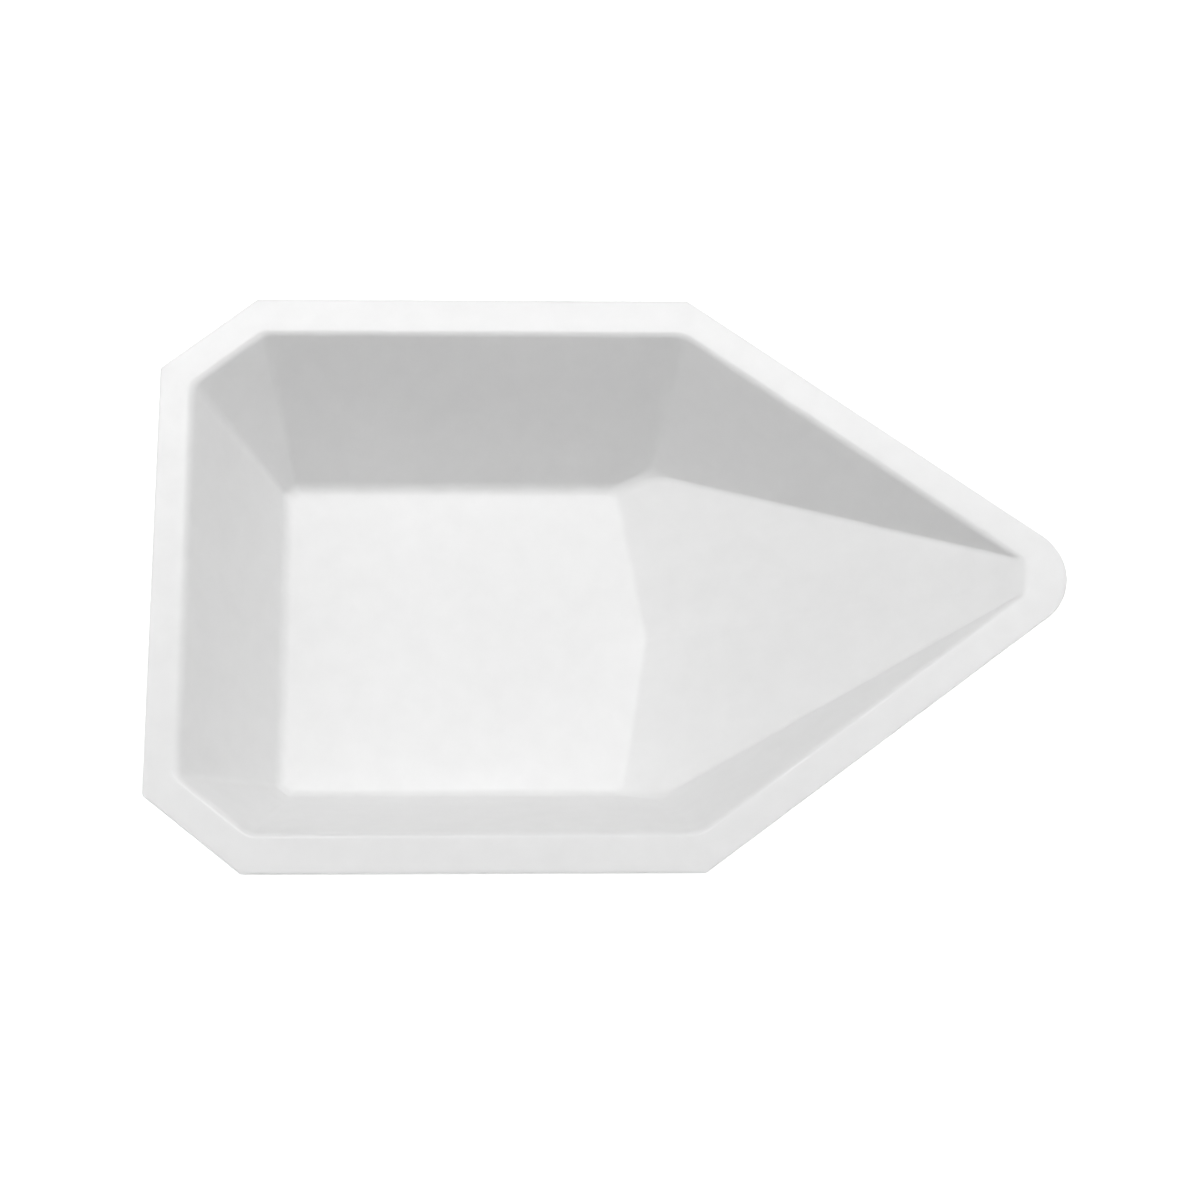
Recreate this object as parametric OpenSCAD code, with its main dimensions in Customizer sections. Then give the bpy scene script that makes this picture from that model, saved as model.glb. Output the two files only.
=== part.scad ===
// Pouring weighing boat: one thin sheet of plastic pressed into a tray with a
// flat rim all round, four sloping walls, two cut back corners, and a ramp that
// climbs from the front of the floor to the tip of a pointed spout.
// Millimetres. X runs from the back edge to the nose, Y across, Z up.
// The underside of the floor is on z = 0 and the rim is centred on x = 0, y = 0.

/* [Overall] */
// Length over the rim, from the back edge to the nose
length = 88.7; // [75:0.1:115]
// Width over the rim
width = 60.4; // [50:0.1:74]
// Height from the table to the top of the rim
height = 16.4; // [13:0.1:20]
// Thickness of the sheet
sheet = 0.4; // [0.25:0.05:0.6]

/* [Rim outline] */
// Angle between each spout edge and the long axis
spout_angle = 37.2; // [31:0.1:45]
// Radius of the nose
nose_radius = 5.5; // [3:0.1:8]
// Length taken off each back corner
cut_length = 9.4; // [6:0.1:12]
// Width taken off each back corner
cut_width = 7.8; // [5:0.1:10]
// Radius of the other corners of the rim outline
outline_radius = 0.6; // [0.3:0.1:2]

/* [Flat rim] */
// Width of the flat rim at the back
back_rim = 3.3; // [2.2:0.1:5]
// Width of the flat rim at each cut corner
cut_rim = 3.5; // [2.2:0.1:5]
// Width of the flat rim along each side
side_rim = 3.9; // [2.4:0.1:5.5]
// Width of the flat rim along each spout edge
spout_rim = 3.4; // [2.2:0.1:4.4]
// Flat rim left between the top of the ramp and the nose
nose_rim = 3.9; // [2:0.1:6]

/* [Walls] */
// Lean of the back wall, measured from upright
back_lean = 27.9; // [15:0.1:38]
// Lean of the wall at each cut corner
cut_lean = 29.3; // [20:0.1:34]
// Lean of the side walls
side_lean = 30.6; // [20:0.1:38]
// Lean of the spout walls
spout_lean = 30.5; // [22:0.1:38]
// Rise of the ramp, measured from the table
ramp_rise = 23.8; // [18:0.1:32]
// How far the front edge of the floor runs forward to its middle
floor_point = 2.8; // [0.8:0.1:6]

/* [Bends] */
// Radius of the bend between the floor and the walls, inside
floor_bend = 1.5; // [0.5:0.1:2.5]
// Radius of the bend between the back wall and the rim, on top
back_bend = 1.2; // [0.7:0.1:2.5]
// Radius of the bend between each cut corner's wall and the rim, on top
cut_bend = 0.9; // [0.7:0.1:2.5]
// Radius of the bend between the side walls and the rim, on top
side_bend = 0.7; // [0.7:0.1:2.5]
// Radius of the bend between the spout walls and the rim, on top
spout_bend = 0.8; // [0.7:0.1:2.5]
// Radius of the bend between the ramp and the rim, on top
ramp_bend = 2.5; // [0.7:0.1:4]
// Radius of the front corners of the floor, in plan
front_radius = 1.3; // [0.6:0.1:3]
// Radius of the corners at the top of the ramp, in plan
tip_radius = 1.2; // [0.6:0.1:4]
// Radius of the shoulders at the rim, in plan
shoulder_radius = 3.4; // [1.5:0.1:5]
// How gently the foot of a wall fades out where its neighbours meet
fade = 0.8; // [0.2:0.1:1.5]
// Radius of the back corners at the floor, in plan
back_floor_radius = 0.7; // [0.3:0.1:1.5]
// Radius of the back corners at the rim, in plan
back_radius = 1.8; // [0.8:0.1:3]

/* [Part] */
// Which part to draw

/* [Hidden] */
corner_steps = 6;
bend_steps = 6;
wall_steps = 14;
depth = height - sheet;

// The level lines of the boat are polygons of nine sides, alike on both sides
// of the axis. These five run from the ramp to the back.
RAMP = 0;
SPOUT = 1;
SIDE = 2;
CUT = 3;
BACK = 4;
virtual_nose = length / 2 + nose_radius * (1 / sin(spout_angle) - 1);
floor_half = width / 2 - side_rim - depth * tan(side_lean);
facing = [atan2(floor_point, floor_half), 90 - spout_angle, 90,
    90 + atan2(cut_width, cut_length), 180];
ramp_lean = atan(cos(facing[RAMP]) / tan(ramp_rise));
lean = [ramp_lean, spout_lean, side_lean, cut_lean, back_lean];
rim_bend = [ramp_bend, spout_bend, side_bend, cut_bend, back_bend];
least_bend = 0.1;
cut_reach = length / 2 * -cos(facing[CUT]) + (width / 2 - cut_width) * sin(facing[CUT]);
outline = [2 * length, virtual_nose * cos(facing[SPOUT]), width / 2, cut_reach, length / 2];
rim_edge = [(length / 2 - nose_rim) * cos(facing[RAMP]), outline[SPOUT] - spout_rim,
    width / 2 - side_rim, cut_reach - cut_rim, length / 2 - back_rim];

// Distance a face has come in from the rim edge at height z above the top of
// the floor, for the top of the sheet (under = 0) or its underside.
function bend_in(radius, rise) = radius * sin(acos(1 - rise / radius));
function inset(i, z, under) =
    let (
        steep = 90 - lean[i],
        low = z + under,
        high = depth - under - z,
        low_radius = floor_bend + under,
        high_radius = max(least_bend, rim_bend[i] - under)
    )
    low < low_radius * (1 - cos(steep))
        ? depth * tan(lean[i]) + floor_bend * tan(steep / 2) - bend_in(low_radius, low)
    : high < high_radius * (1 - cos(steep))
        ? bend_in(high_radius, high) - (high_radius + under) * tan(steep / 2)
    : (depth - z) * tan(lean[i]) - under / sin(steep);

function along(angle) = [cos(angle), sin(angle)];
function cross_point(a, reach_a, b, reach_b) =
    [reach_a * sin(b) - reach_b * sin(a), reach_b * cos(a) - reach_a * cos(b)] / sin(b - a);
function arc(centre, radius, from, to, steps) =
    [for (k = [0 : steps - 1]) centre + radius * along(from + (to - from) * (k + 0.5) / steps)];

// A side held short of the place where it would shrink away, so that its foot
// fades into its neighbours and the count of points never changes.
function faded(reach, limit) =
    min(reach, limit) - fade / 4 * pow(max(0, 1 - abs(reach - limit) / fade), 2);

// Half a level line, from the axis at the nose to the axis at the back.
function half_line(reach, tip, front, back) =
    let (
        a = facing,
        f = [for (i = [RAMP : SIDE]) reach[i] - front],
        g = [for (i = [SIDE : BACK]) reach[i] - back],
        foot = cross_point(a[RAMP], f[RAMP], a[SIDE], f[SIDE]),
        spout = faded(f[SPOUT], foot * along(a[SPOUT])),
        tip_spout = spout + front - tip,
        ramp = faded(reach[RAMP] - tip, tip_spout / cos(a[SPOUT]) * cos(a[RAMP])),
        corner = cross_point(a[SIDE], g[0], a[BACK], g[2]),
        cut = faded(g[1], corner * along(a[CUT]))
    )
    concat(
        arc([ramp / cos(a[RAMP]), 0], tip, 0, a[RAMP], corner_steps / 2),
        arc(cross_point(a[RAMP], ramp, a[SPOUT], tip_spout), tip, a[RAMP], a[SPOUT], corner_steps),
        arc(cross_point(a[SPOUT], spout, a[SIDE], f[SIDE]), front, a[SPOUT], a[SIDE], corner_steps),
        arc(cross_point(a[SIDE], g[0], a[CUT], cut), back, a[SIDE], a[CUT], corner_steps),
        arc(cross_point(a[CUT], cut, a[BACK], g[2]), back, a[CUT], a[BACK], corner_steps)
    );

function ring(half, z) =
    let (last = len(half) - 1)
    concat(
        [for (p = half) [p[0], p[1], z]],
        [for (k = [last : -1 : 0]) [half[k][0], -half[k][1], z]]
    );

// Level line of the tray at height z above the top of the floor.
function tray_ring(z, under) =
    let (
        part_up = max(0, min(1, z / depth)),
        reach = [for (i = [RAMP : BACK]) rim_edge[i] - inset(i, z, under)],
        tip = front_radius + (tip_radius - front_radius) * part_up + under,
        front = front_radius + (shoulder_radius - front_radius) * part_up + under,
        back = back_floor_radius + (back_radius - back_floor_radius) * part_up + under
    )
    ring(half_line(reach, tip, front, back), z + sheet);

// Outline of the rim: the nose has its own radius, the other corners share one.
function outline_ring(z) = ring(half_line(outline, nose_radius, outline_radius, outline_radius), z);

steepest = 90 - min(lean);
bend_share = [for (k = [0 : bend_steps]) 1 - cos(steepest * k / bend_steps)];
function heights(under) =
    let (
        low_radius = floor_bend + under,
        high_radius = max(spout_bend, side_bend, cut_bend, back_bend) - under,
        first = low_radius * bend_share[bend_steps] - under,
        last = depth - under - high_radius * bend_share[bend_steps]
    )
    concat(
        [for (k = [0 : bend_steps]) low_radius * bend_share[k] - under],
        [for (k = [1 : wall_steps - 1]) first + (last - first) * pow(k / wall_steps, 2)],
        [for (k = [bend_steps : -1 : 0]) depth - under - high_radius * bend_share[k]]
    );

function strip(a, b, n) =
    [for (k = [0 : n - 1]) let (m = (k + 1) % n) each [
        [a * n + k, b * n + m, a * n + m],
        [a * n + k, b * n + k, b * n + m]
    ]];

// The tray, its flat rim and the cut edge as one closed skin.
module boat() {
    top = [for (z = heights(0)) tray_ring(z, 0)];
    below = [for (z = heights(sheet)) tray_ring(z, sheet)];
    levels = len(top);
    turned = [for (k = [levels - 1 : -1 : 0]) below[k]];
    rings = concat(top, [outline_ring(height), outline_ring(height - sheet)], turned);
    n = len(top[0]);
    points = [for (r = rings) each r];
    skin = [for (k = [0 : len(rings) - 2]) each strip(k + 1, k, n)];
    floor_top = [for (k = [n - 1 : -1 : 0]) k];
    floor_below = [for (k = [0 : n - 1]) (len(rings) - 1) * n + k];
    color([0.95, 0.95, 0.94]) polyhedron(points, concat([floor_top], skin, [floor_below]), 4);
}

boat();
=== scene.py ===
"""A pouring weighing boat: one thin white sheet, pressed into a tray with a flat rim and a spout."""
import math

import bpy
from mathutils import Matrix, Vector


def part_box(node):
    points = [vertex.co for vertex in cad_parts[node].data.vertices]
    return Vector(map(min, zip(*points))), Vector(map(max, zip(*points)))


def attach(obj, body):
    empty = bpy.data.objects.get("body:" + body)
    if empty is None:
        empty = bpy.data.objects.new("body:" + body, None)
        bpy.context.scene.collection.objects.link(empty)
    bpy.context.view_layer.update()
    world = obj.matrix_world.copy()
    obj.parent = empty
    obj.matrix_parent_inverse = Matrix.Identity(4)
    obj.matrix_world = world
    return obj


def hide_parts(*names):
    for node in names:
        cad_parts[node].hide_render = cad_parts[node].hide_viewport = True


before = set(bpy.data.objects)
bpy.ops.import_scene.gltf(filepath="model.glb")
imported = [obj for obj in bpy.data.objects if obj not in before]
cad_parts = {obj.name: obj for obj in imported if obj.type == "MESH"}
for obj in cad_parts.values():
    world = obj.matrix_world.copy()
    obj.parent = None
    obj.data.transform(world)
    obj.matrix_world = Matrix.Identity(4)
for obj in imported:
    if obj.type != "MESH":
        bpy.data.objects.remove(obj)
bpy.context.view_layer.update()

MM = 0.001
low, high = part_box("boat")

# ---------------------------------------------------------------- the sheet's shape, in millimetres
LENGTH, WIDTH, HEIGHT = [(high[i] - low[i]) / MM for i in range(3)]
SHEET = 0.4
DEPTH = HEIGHT - SHEET
SPOUT_ANGLE = math.radians(37.2)
NOSE_RADIUS, OUTLINE_RADIUS = 5.5, 0.6
CUT_LENGTH, CUT_WIDTH = 9.4, 7.8
BACK_RIM, CUT_RIM, SIDE_RIM, SPOUT_RIM, NOSE_RIM = 3.3, 3.5, 3.9, 3.4, 3.9
BACK_LEAN, CUT_LEAN, SIDE_LEAN, SPOUT_LEAN = [math.radians(a) for a in (27.9, 29.3, 30.6, 30.5)]
RAMP_RISE, FLOOR_POINT = math.radians(23.8), 2.8
FLOOR_BEND, FADE = 1.5, 0.8
RIM_BEND = [2.5, 0.8, 0.7, 0.9, 1.2]      # from the ramp to the back
FRONT_RADIUS, TIP_RADIUS, SHOULDER_RADIUS = 1.3, 1.2, 3.4
BACK_FLOOR_RADIUS, BACK_RADIUS = 0.7, 1.8
EDGE_SOFT = 0.12                          # radius left on the cut edge by the die

# ---------------------------------------------------------------- how finely it is drawn
ARC = 14                                  # steps round each corner
EDGE = [10, 26, 30, 8, 16]                # steps along each straight side (half of the back's)
ARC_MARGIN = 0.03                         # share of each arc left off at either end
BEND_STEPS, WALL_STEPS, WALL_SPACING = 14, 34, 1.4
FLOOR_RINGS, FLOOR_SPACING = 15, 0.8
RIM_RINGS, EDGE_STEPS = 10, 5

# ---------------------------------------------------------------- the look of the sheet
TRAY_ROUGHNESS, RIM_ROUGHNESS = 0.42, 0.29

# ---------------------------------------------------------------- values that follow from the sizes
RAMP, SPOUT, SIDE, CUT, BACK = range(5)
floor_half = WIDTH / 2 - SIDE_RIM - DEPTH * math.tan(SIDE_LEAN)
FACING = [math.atan2(FLOOR_POINT, floor_half), math.pi / 2 - SPOUT_ANGLE, math.pi / 2,
          math.pi / 2 + math.atan2(CUT_WIDTH, CUT_LENGTH), math.pi]
RAMP_LEAN = math.atan(math.cos(FACING[RAMP]) / math.tan(RAMP_RISE))
LEAN = [RAMP_LEAN, SPOUT_LEAN, SIDE_LEAN, CUT_LEAN, BACK_LEAN]
virtual_nose = LENGTH / 2 + NOSE_RADIUS * (1 / math.sin(SPOUT_ANGLE) - 1)
cut_reach = -LENGTH / 2 * math.cos(FACING[CUT]) + (WIDTH / 2 - CUT_WIDTH) * math.sin(FACING[CUT])
OUTLINE = [2 * LENGTH, virtual_nose * math.cos(FACING[SPOUT]), WIDTH / 2, cut_reach, LENGTH / 2]
RIM_EDGE = [(LENGTH / 2 - NOSE_RIM) * math.cos(FACING[RAMP]), OUTLINE[SPOUT] - SPOUT_RIM,
            WIDTH / 2 - SIDE_RIM, cut_reach - CUT_RIM, LENGTH / 2 - BACK_RIM]


def bend_in(radius, rise):
    """How far a bend of this radius has turned in at this height from its level end."""
    return radius * math.sin(math.acos(max(-1, 1 - rise / radius)))


def inset(i, z, under):
    """How far face i has come in from the rim's edge at height z above the top of the floor."""
    steep = math.pi / 2 - LEAN[i]
    from_floor, to_rim = max(0, z + under), max(0, DEPTH - under - z)
    r_low, r_high = FLOOR_BEND + under, RIM_BEND[i] - under
    if from_floor < r_low * (1 - math.cos(steep)):
        return DEPTH * math.tan(LEAN[i]) + FLOOR_BEND * math.tan(steep / 2) - bend_in(r_low, from_floor)
    if to_rim < r_high * (1 - math.cos(steep)):
        return bend_in(r_high, to_rim) - RIM_BEND[i] * math.tan(steep / 2)
    return (DEPTH - z) * math.tan(LEAN[i]) - under / math.sin(steep)


def cross_point(a, reach_a, b, reach_b):
    """Where two lines cross that face the angles a and b, at these distances from the middle."""
    d = math.sin(b - a)
    return ((reach_a * math.sin(b) - reach_b * math.sin(a)) / d,
            (reach_b * math.cos(a) - reach_a * math.cos(b)) / d)


def faded(reach, limit):
    """A side held short of the place where it would shrink away."""
    return min(reach, limit) - FADE / 4 * max(0, 1 - abs(reach - limit) / FADE) ** 2


def on_arc(corner, share):
    centre, radius, start, end, _ = corner
    t = start + (end - start) * share
    return (centre[0] + radius * math.cos(t), centre[1] + radius * math.sin(t))


def half_line(reach, tip, front, back):
    """Half a level line as (x, y) points, from the axis at the nose to the axis at the back."""
    a = FACING
    f = [reach[i] - front for i in (RAMP, SPOUT, SIDE)]
    g = [reach[i] - back for i in (SIDE, CUT, BACK)]
    foot = cross_point(a[RAMP], f[0], a[SIDE], f[2])
    spout = faded(f[1], foot[0] * math.cos(a[SPOUT]) + foot[1] * math.sin(a[SPOUT]))
    tip_spout = spout + front - tip
    ramp = faded(reach[RAMP] - tip, tip_spout / math.cos(a[SPOUT]) * math.cos(a[RAMP]))
    corner = cross_point(a[SIDE], g[0], a[BACK], g[2])
    cut = faded(g[1], corner[0] * math.cos(a[CUT]) + corner[1] * math.sin(a[CUT]))
    arcs = [
        ((ramp / math.cos(a[RAMP]), 0), tip, 0, a[RAMP], ARC // 2),
        (cross_point(a[RAMP], ramp, a[SPOUT], tip_spout), tip, a[RAMP], a[SPOUT], ARC),
        (cross_point(a[SPOUT], spout, a[SIDE], f[2]), front, a[SPOUT], a[SIDE], ARC),
        (cross_point(a[SIDE], g[0], a[CUT], cut), back, a[SIDE], a[CUT], ARC),
        (cross_point(a[CUT], cut, a[BACK], g[2]), back, a[CUT], a[BACK], ARC),
    ]
    out = []
    for k, corner in enumerate(arcs):
        steps = corner[4]
        # a little off the ends, so that no two points fall together where a side shrinks away
        points = [on_arc(corner, ARC_MARGIN + (1 - 2 * ARC_MARGIN) * m / steps) for m in range(steps + 1)]
        last = points[-1]
        goal = on_arc(arcs[k + 1], ARC_MARGIN) if k < BACK else (last[0], 0)
        out += points
        for m in range(1, EDGE[k]):
            share = m / EDGE[k]
            out.append((last[0] + (goal[0] - last[0]) * share, last[1] + (goal[1] - last[1]) * share))
    return out


def ring(half, z):
    """The whole level line, as (x, y, z) points, from its half and the mirror of it."""
    return [(x, y, z) for x, y in half] + [(x, -y, z) for x, y in reversed(half)]


def tray_ring(z, under):
    """Level line of the tray's top face (under = 0) or its underside (under = SHEET)."""
    part_up = max(0, min(1, z / DEPTH))
    reach = [RIM_EDGE[i] - inset(i, z, under) for i in range(5)]
    tip = FRONT_RADIUS + (TIP_RADIUS - FRONT_RADIUS) * part_up + under
    front = FRONT_RADIUS + (SHOULDER_RADIUS - FRONT_RADIUS) * part_up + under
    back = BACK_FLOOR_RADIUS + (BACK_RADIUS - BACK_FLOOR_RADIUS) * part_up + under
    return ring(half_line(reach, tip, front, back), z + SHEET)


def outline_half(shrink):
    """Half the outline of the rim, brought in by shrink."""
    reach = [OUTLINE[0]] + [r - shrink for r in OUTLINE[1:]]
    return half_line(reach, NOSE_RADIUS - shrink, OUTLINE_RADIUS, OUTLINE_RADIUS)


def between(a, b, t):
    return [tuple(p[i] + (q[i] - p[i]) * t for i in range(3)) for p, q in zip(a, b)]


def heights(under):
    """Heights of the level lines, close together in the bends."""
    steepest = math.pi / 2 - min(LEAN)
    share = [1 - math.cos(steepest * k / BEND_STEPS) for k in range(BEND_STEPS + 1)]
    r_low, r_high = FLOOR_BEND + under, max(RIM_BEND[1:]) - under
    first, last = r_low * share[-1] - under, DEPTH - under - r_high * share[-1]
    return ([r_low * s - under for s in share]
            + [first + (last - first) * (k / WALL_STEPS) ** WALL_SPACING for k in range(1, WALL_STEPS)]
            + [DEPTH - under - r_high * s for s in reversed(share)])


def skin(under):
    """The rings of one face of the sheet, from the middle of the floor out to the edge of the rim."""
    walls = [tray_ring(z, under) for z in heights(under)]
    z = walls[0][0][2]
    centre = (sum(p[0] for p in walls[0]) / len(walls[0]), 0.0, z)
    # rings across the floor shrink towards its middle line
    floor = []
    for k in range(1, FLOOR_RINGS):
        t = (k / FLOOR_RINGS) ** FLOOR_SPACING
        floor.append([(centre[0] + (p[0] - centre[0]) * t, p[1] * t, z) for p in walls[0]])
    top = walls[-1][0][2]
    edge = []
    for k in range(EDGE_STEPS + 1):
        t = math.pi / 2 * k / EDGE_STEPS
        drop = EDGE_SOFT * (1 - math.cos(t))
        edge.append(ring(outline_half(EDGE_SOFT * (1 - math.sin(t))), top + (drop if under else -drop)))
    rim = [between(walls[-1], edge[0], k / RIM_RINGS) for k in range(1, RIM_RINGS)]
    return centre, floor + walls + rim + edge


def build_sheet():
    """The sheet as one closed skin: top face, rounded cut edge, underside."""
    centre_top, upper = skin(0)
    centre_low, lower = skin(SHEET)
    rings = upper + lower[::-1]
    n = len(rings[0])
    points = [centre_top] + [p for r in rings for p in r] + [centre_low]
    faces = [(0, 1 + k, 1 + (k + 1) % n) for k in range(n)]
    for j in range(len(rings) - 1):
        a, b = 1 + j * n, 1 + (j + 1) * n
        for k in range(n):
            m = (k + 1) % n
            faces.append((a + k, b + k, b + m, a + m))
    last = 1 + (len(rings) - 1) * n
    end = len(points) - 1
    faces += [(end, last + (k + 1) % n, last + k) for k in range(n)]
    mesh = bpy.data.meshes.new("pressed_sheet")
    middle = Vector(((low[0] + high[0]) / 2, (low[1] + high[1]) / 2, low[2]))
    mesh.from_pydata([middle + Vector(p) * MM for p in points], [], faces)
    mesh.validate()
    mesh.shade_smooth()
    piece = bpy.data.objects.new("pressed_sheet", mesh)
    bpy.context.scene.collection.objects.link(piece)
    return piece


# ---------------------------------------------------------------- materials
def white_plastic():
    """Satin white polystyrene sheet. The rim kept the gloss that the tray lost against the mould."""
    mat = bpy.data.materials.new("satin_white_sheet")
    mat.use_nodes = True
    nodes, links = mat.node_tree.nodes, mat.node_tree.links
    shader = nodes["Principled BSDF"]
    place = nodes.new("ShaderNodeTexCoord")

    def noise(scale, detail, roughness=0.5):
        node = nodes.new("ShaderNodeTexNoise")
        node.inputs["Scale"].default_value = scale
        node.inputs["Detail"].default_value = detail
        node.inputs["Roughness"].default_value = roughness
        links.new(place.outputs["Object"], node.inputs["Vector"])
        return node.outputs["Fac"]

    def mapped(value, from_min, from_max, to_min, to_max):
        node = nodes.new("ShaderNodeMapRange")
        for name, number in zip(("From Min", "From Max", "To Min", "To Max"),
                                (from_min, from_max, to_min, to_max)):
            node.inputs[name].default_value = number
        links.new(value, node.inputs["Value"])
        return node.outputs["Result"]

    # faint clouding in the sheet, a millimetre or two across
    tint = mapped(noise(420, 3, 0.55), 0.3, 0.7, 0.81, 0.83)
    colour = nodes.new("ShaderNodeCombineColor")
    for name in ("Red", "Green", "Blue"):
        links.new(tint, colour.inputs[name])
    links.new(colour.outputs["Color"], shader.inputs["Base Color"])

    # satin in the tray, glossier on the rim, both a little uneven
    split = nodes.new("ShaderNodeSeparateXYZ")
    links.new(place.outputs["Object"], split.inputs[0])
    finish = mapped(split.outputs["Z"], high[2] - 0.12 * MM, high[2] - 0.01 * MM,
                    TRAY_ROUGHNESS, RIM_ROUGHNESS)
    uneven = mapped(noise(500, 2), 0, 1, -0.02, 0.02)
    total = nodes.new("ShaderNodeMath")
    total.operation = "ADD"
    links.new(finish, total.inputs[0])
    links.new(uneven, total.inputs[1])
    links.new(total.outputs["Value"], shader.inputs["Roughness"])

    # the tray took a fine grain from the mould, and the rim almost none
    grain = mapped(split.outputs["Z"], high[2] - 1.2 * MM, high[2] - 0.2 * MM, 0.25, 0.04)
    bump = nodes.new("ShaderNodeBump")
    links.new(grain, bump.inputs["Strength"])
    bump.inputs["Distance"].default_value = 0.03 * MM
    links.new(noise(1500, 4, 0.6), bump.inputs["Height"])
    links.new(bump.outputs["Normal"], shader.inputs["Normal"])

    shader.inputs["IOR"].default_value = 1.5
    shader.inputs["Specular IOR Level"].default_value = 0.5
    shader.inputs["Subsurface Weight"].default_value = 1.0
    shader.inputs["Subsurface Radius"].default_value = (1.0, 1.0, 1.0)
    shader.inputs["Subsurface Scale"].default_value = 0.5 * MM
    return mat


def light_table():
    """Plain white, and lit a little from within, so that it stays white under the boat's shadow."""
    mat = bpy.data.materials.new("table_white")
    mat.use_nodes = True
    shader = mat.node_tree.nodes["Principled BSDF"]
    shader.inputs["Base Color"].default_value = (0.93, 0.93, 0.93, 1)
    shader.inputs["Roughness"].default_value = 0.9
    shader.inputs["Specular IOR Level"].default_value = 0.2
    shader.inputs["Emission Color"].default_value = (1, 1, 1, 1)
    shader.inputs["Emission Strength"].default_value = 0.548
    return mat


sheet_material = white_plastic()
boat = build_sheet()
boat.data.materials.append(sheet_material)
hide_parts("boat")
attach(boat, "root")
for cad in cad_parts.values():
    cad.data.materials.clear()
    cad.data.materials.append(sheet_material)

# ---------------------------------------------------------------- the table
# a hair below the boat, because the two faces would flicker if they lay in one plane
bpy.ops.mesh.primitive_plane_add(size=6, location=(0, 0, low[2] - 0.03 * MM))
table = bpy.context.object
table.name = "table_top"
table.data.materials.append(light_table())

# ---------------------------------------------------------------- light and camera
scene = bpy.context.scene
scene.view_settings.view_transform = "Standard"
scene.view_settings.look = "None"
scene.view_settings.exposure = 0
scene.view_settings.gamma = 1

# a dark studio with a pale band round the horizon
world = bpy.data.worlds.new("studio")
scene.world = world
world.use_nodes = True
sky, sky_links = world.node_tree.nodes, world.node_tree.links
direction = sky.new("ShaderNodeTexCoord")
parts = sky.new("ShaderNodeSeparateXYZ")
band = sky.new("ShaderNodeMapRange")
band.interpolation_type = "SMOOTHSTEP"
for name, number in (("From Min", 0.12), ("From Max", 0.3), ("To Min", 0.35), ("To Max", 0)):
    band.inputs[name].default_value = number
sky_links.new(direction.outputs["Generated"], parts.inputs[0])
sky_links.new(parts.outputs["Z"], band.inputs["Value"])
sky_links.new(band.outputs["Result"], sky["Background"].inputs["Strength"])
sky["Background"].inputs["Color"].default_value = (1, 1, 1, 1)


def softbox(name, place, width, depth, power):
    """A soft light that faces the boat."""
    data = bpy.data.lights.new(name, "AREA")
    data.shape = "RECTANGLE"
    data.size, data.size_y = width, depth
    data.energy = power
    lamp = bpy.data.objects.new(name, data)
    lamp.location = place
    lamp.rotation_euler = (-Vector(place)).to_track_quat("-Z", "Y").to_euler()
    scene.collection.objects.link(lamp)


def around(azimuth, elevation, distance):
    """A place round the boat. Azimuth 0 is +X and 90 is +Y."""
    a, e = math.radians(azimuth), math.radians(elevation)
    return (distance * math.cos(e) * math.cos(a),
            distance * math.cos(e) * math.sin(a),
            distance * math.sin(e))


FAR, BIG = 0.9, 0.7                       # distance and side of the large softboxes, in metres
softbox("overhead_softbox", around(0, 90, FAR), BIG, BIG, 1.11)
softbox("right_high_softbox", around(0, 55, FAR), BIG, BIG, 2.01)
softbox("right_low_softbox", around(0, 25, FAR), BIG, BIG, 0.86)
softbox("left_softbox", around(180, 55, FAR), BIG, BIG, 1.90)
softbox("close_softbox", around(150, 45, 0.25), 0.2, 0.2, 0.073)
# these two show in the gloss of the far side of the rim, and fade towards the near side
softbox("far_strip_low", (0.03, 0.485, 0.9), 0.6, 0.07, 1.65)
softbox("far_strip_high", (0.03, 0.57, 0.9), 0.6, 0.10, 1.38)

# The camera looks steeply down from the near side, a little turned and tipped.
camera = bpy.data.objects.new("camera", bpy.data.cameras.new("camera"))
camera.data.sensor_width = 36
camera.data.lens = 92.05
camera.data.clip_start = 0.01
camera.data.clip_end = 20
pitch, roll, yaw = [math.radians(a) for a in (23.503, -6.185, 6.696)]
turn = (Matrix.Rotation(roll, 3, "Z") @ Matrix.Rotation(-pitch, 3, "X") @ Matrix.Rotation(yaw, 3, "Z"))
aim = Vector(((low[0] + high[0]) / 2 + 0.15 * MM, (low[1] + high[1]) / 2, high[2]))
position = aim + turn.transposed() @ Vector((-1.343, -2.404, 296.80)) * MM
camera.matrix_world = Matrix.Translation(position) @ turn.transposed().to_4x4()
scene.collection.objects.link(camera)
scene.camera = camera
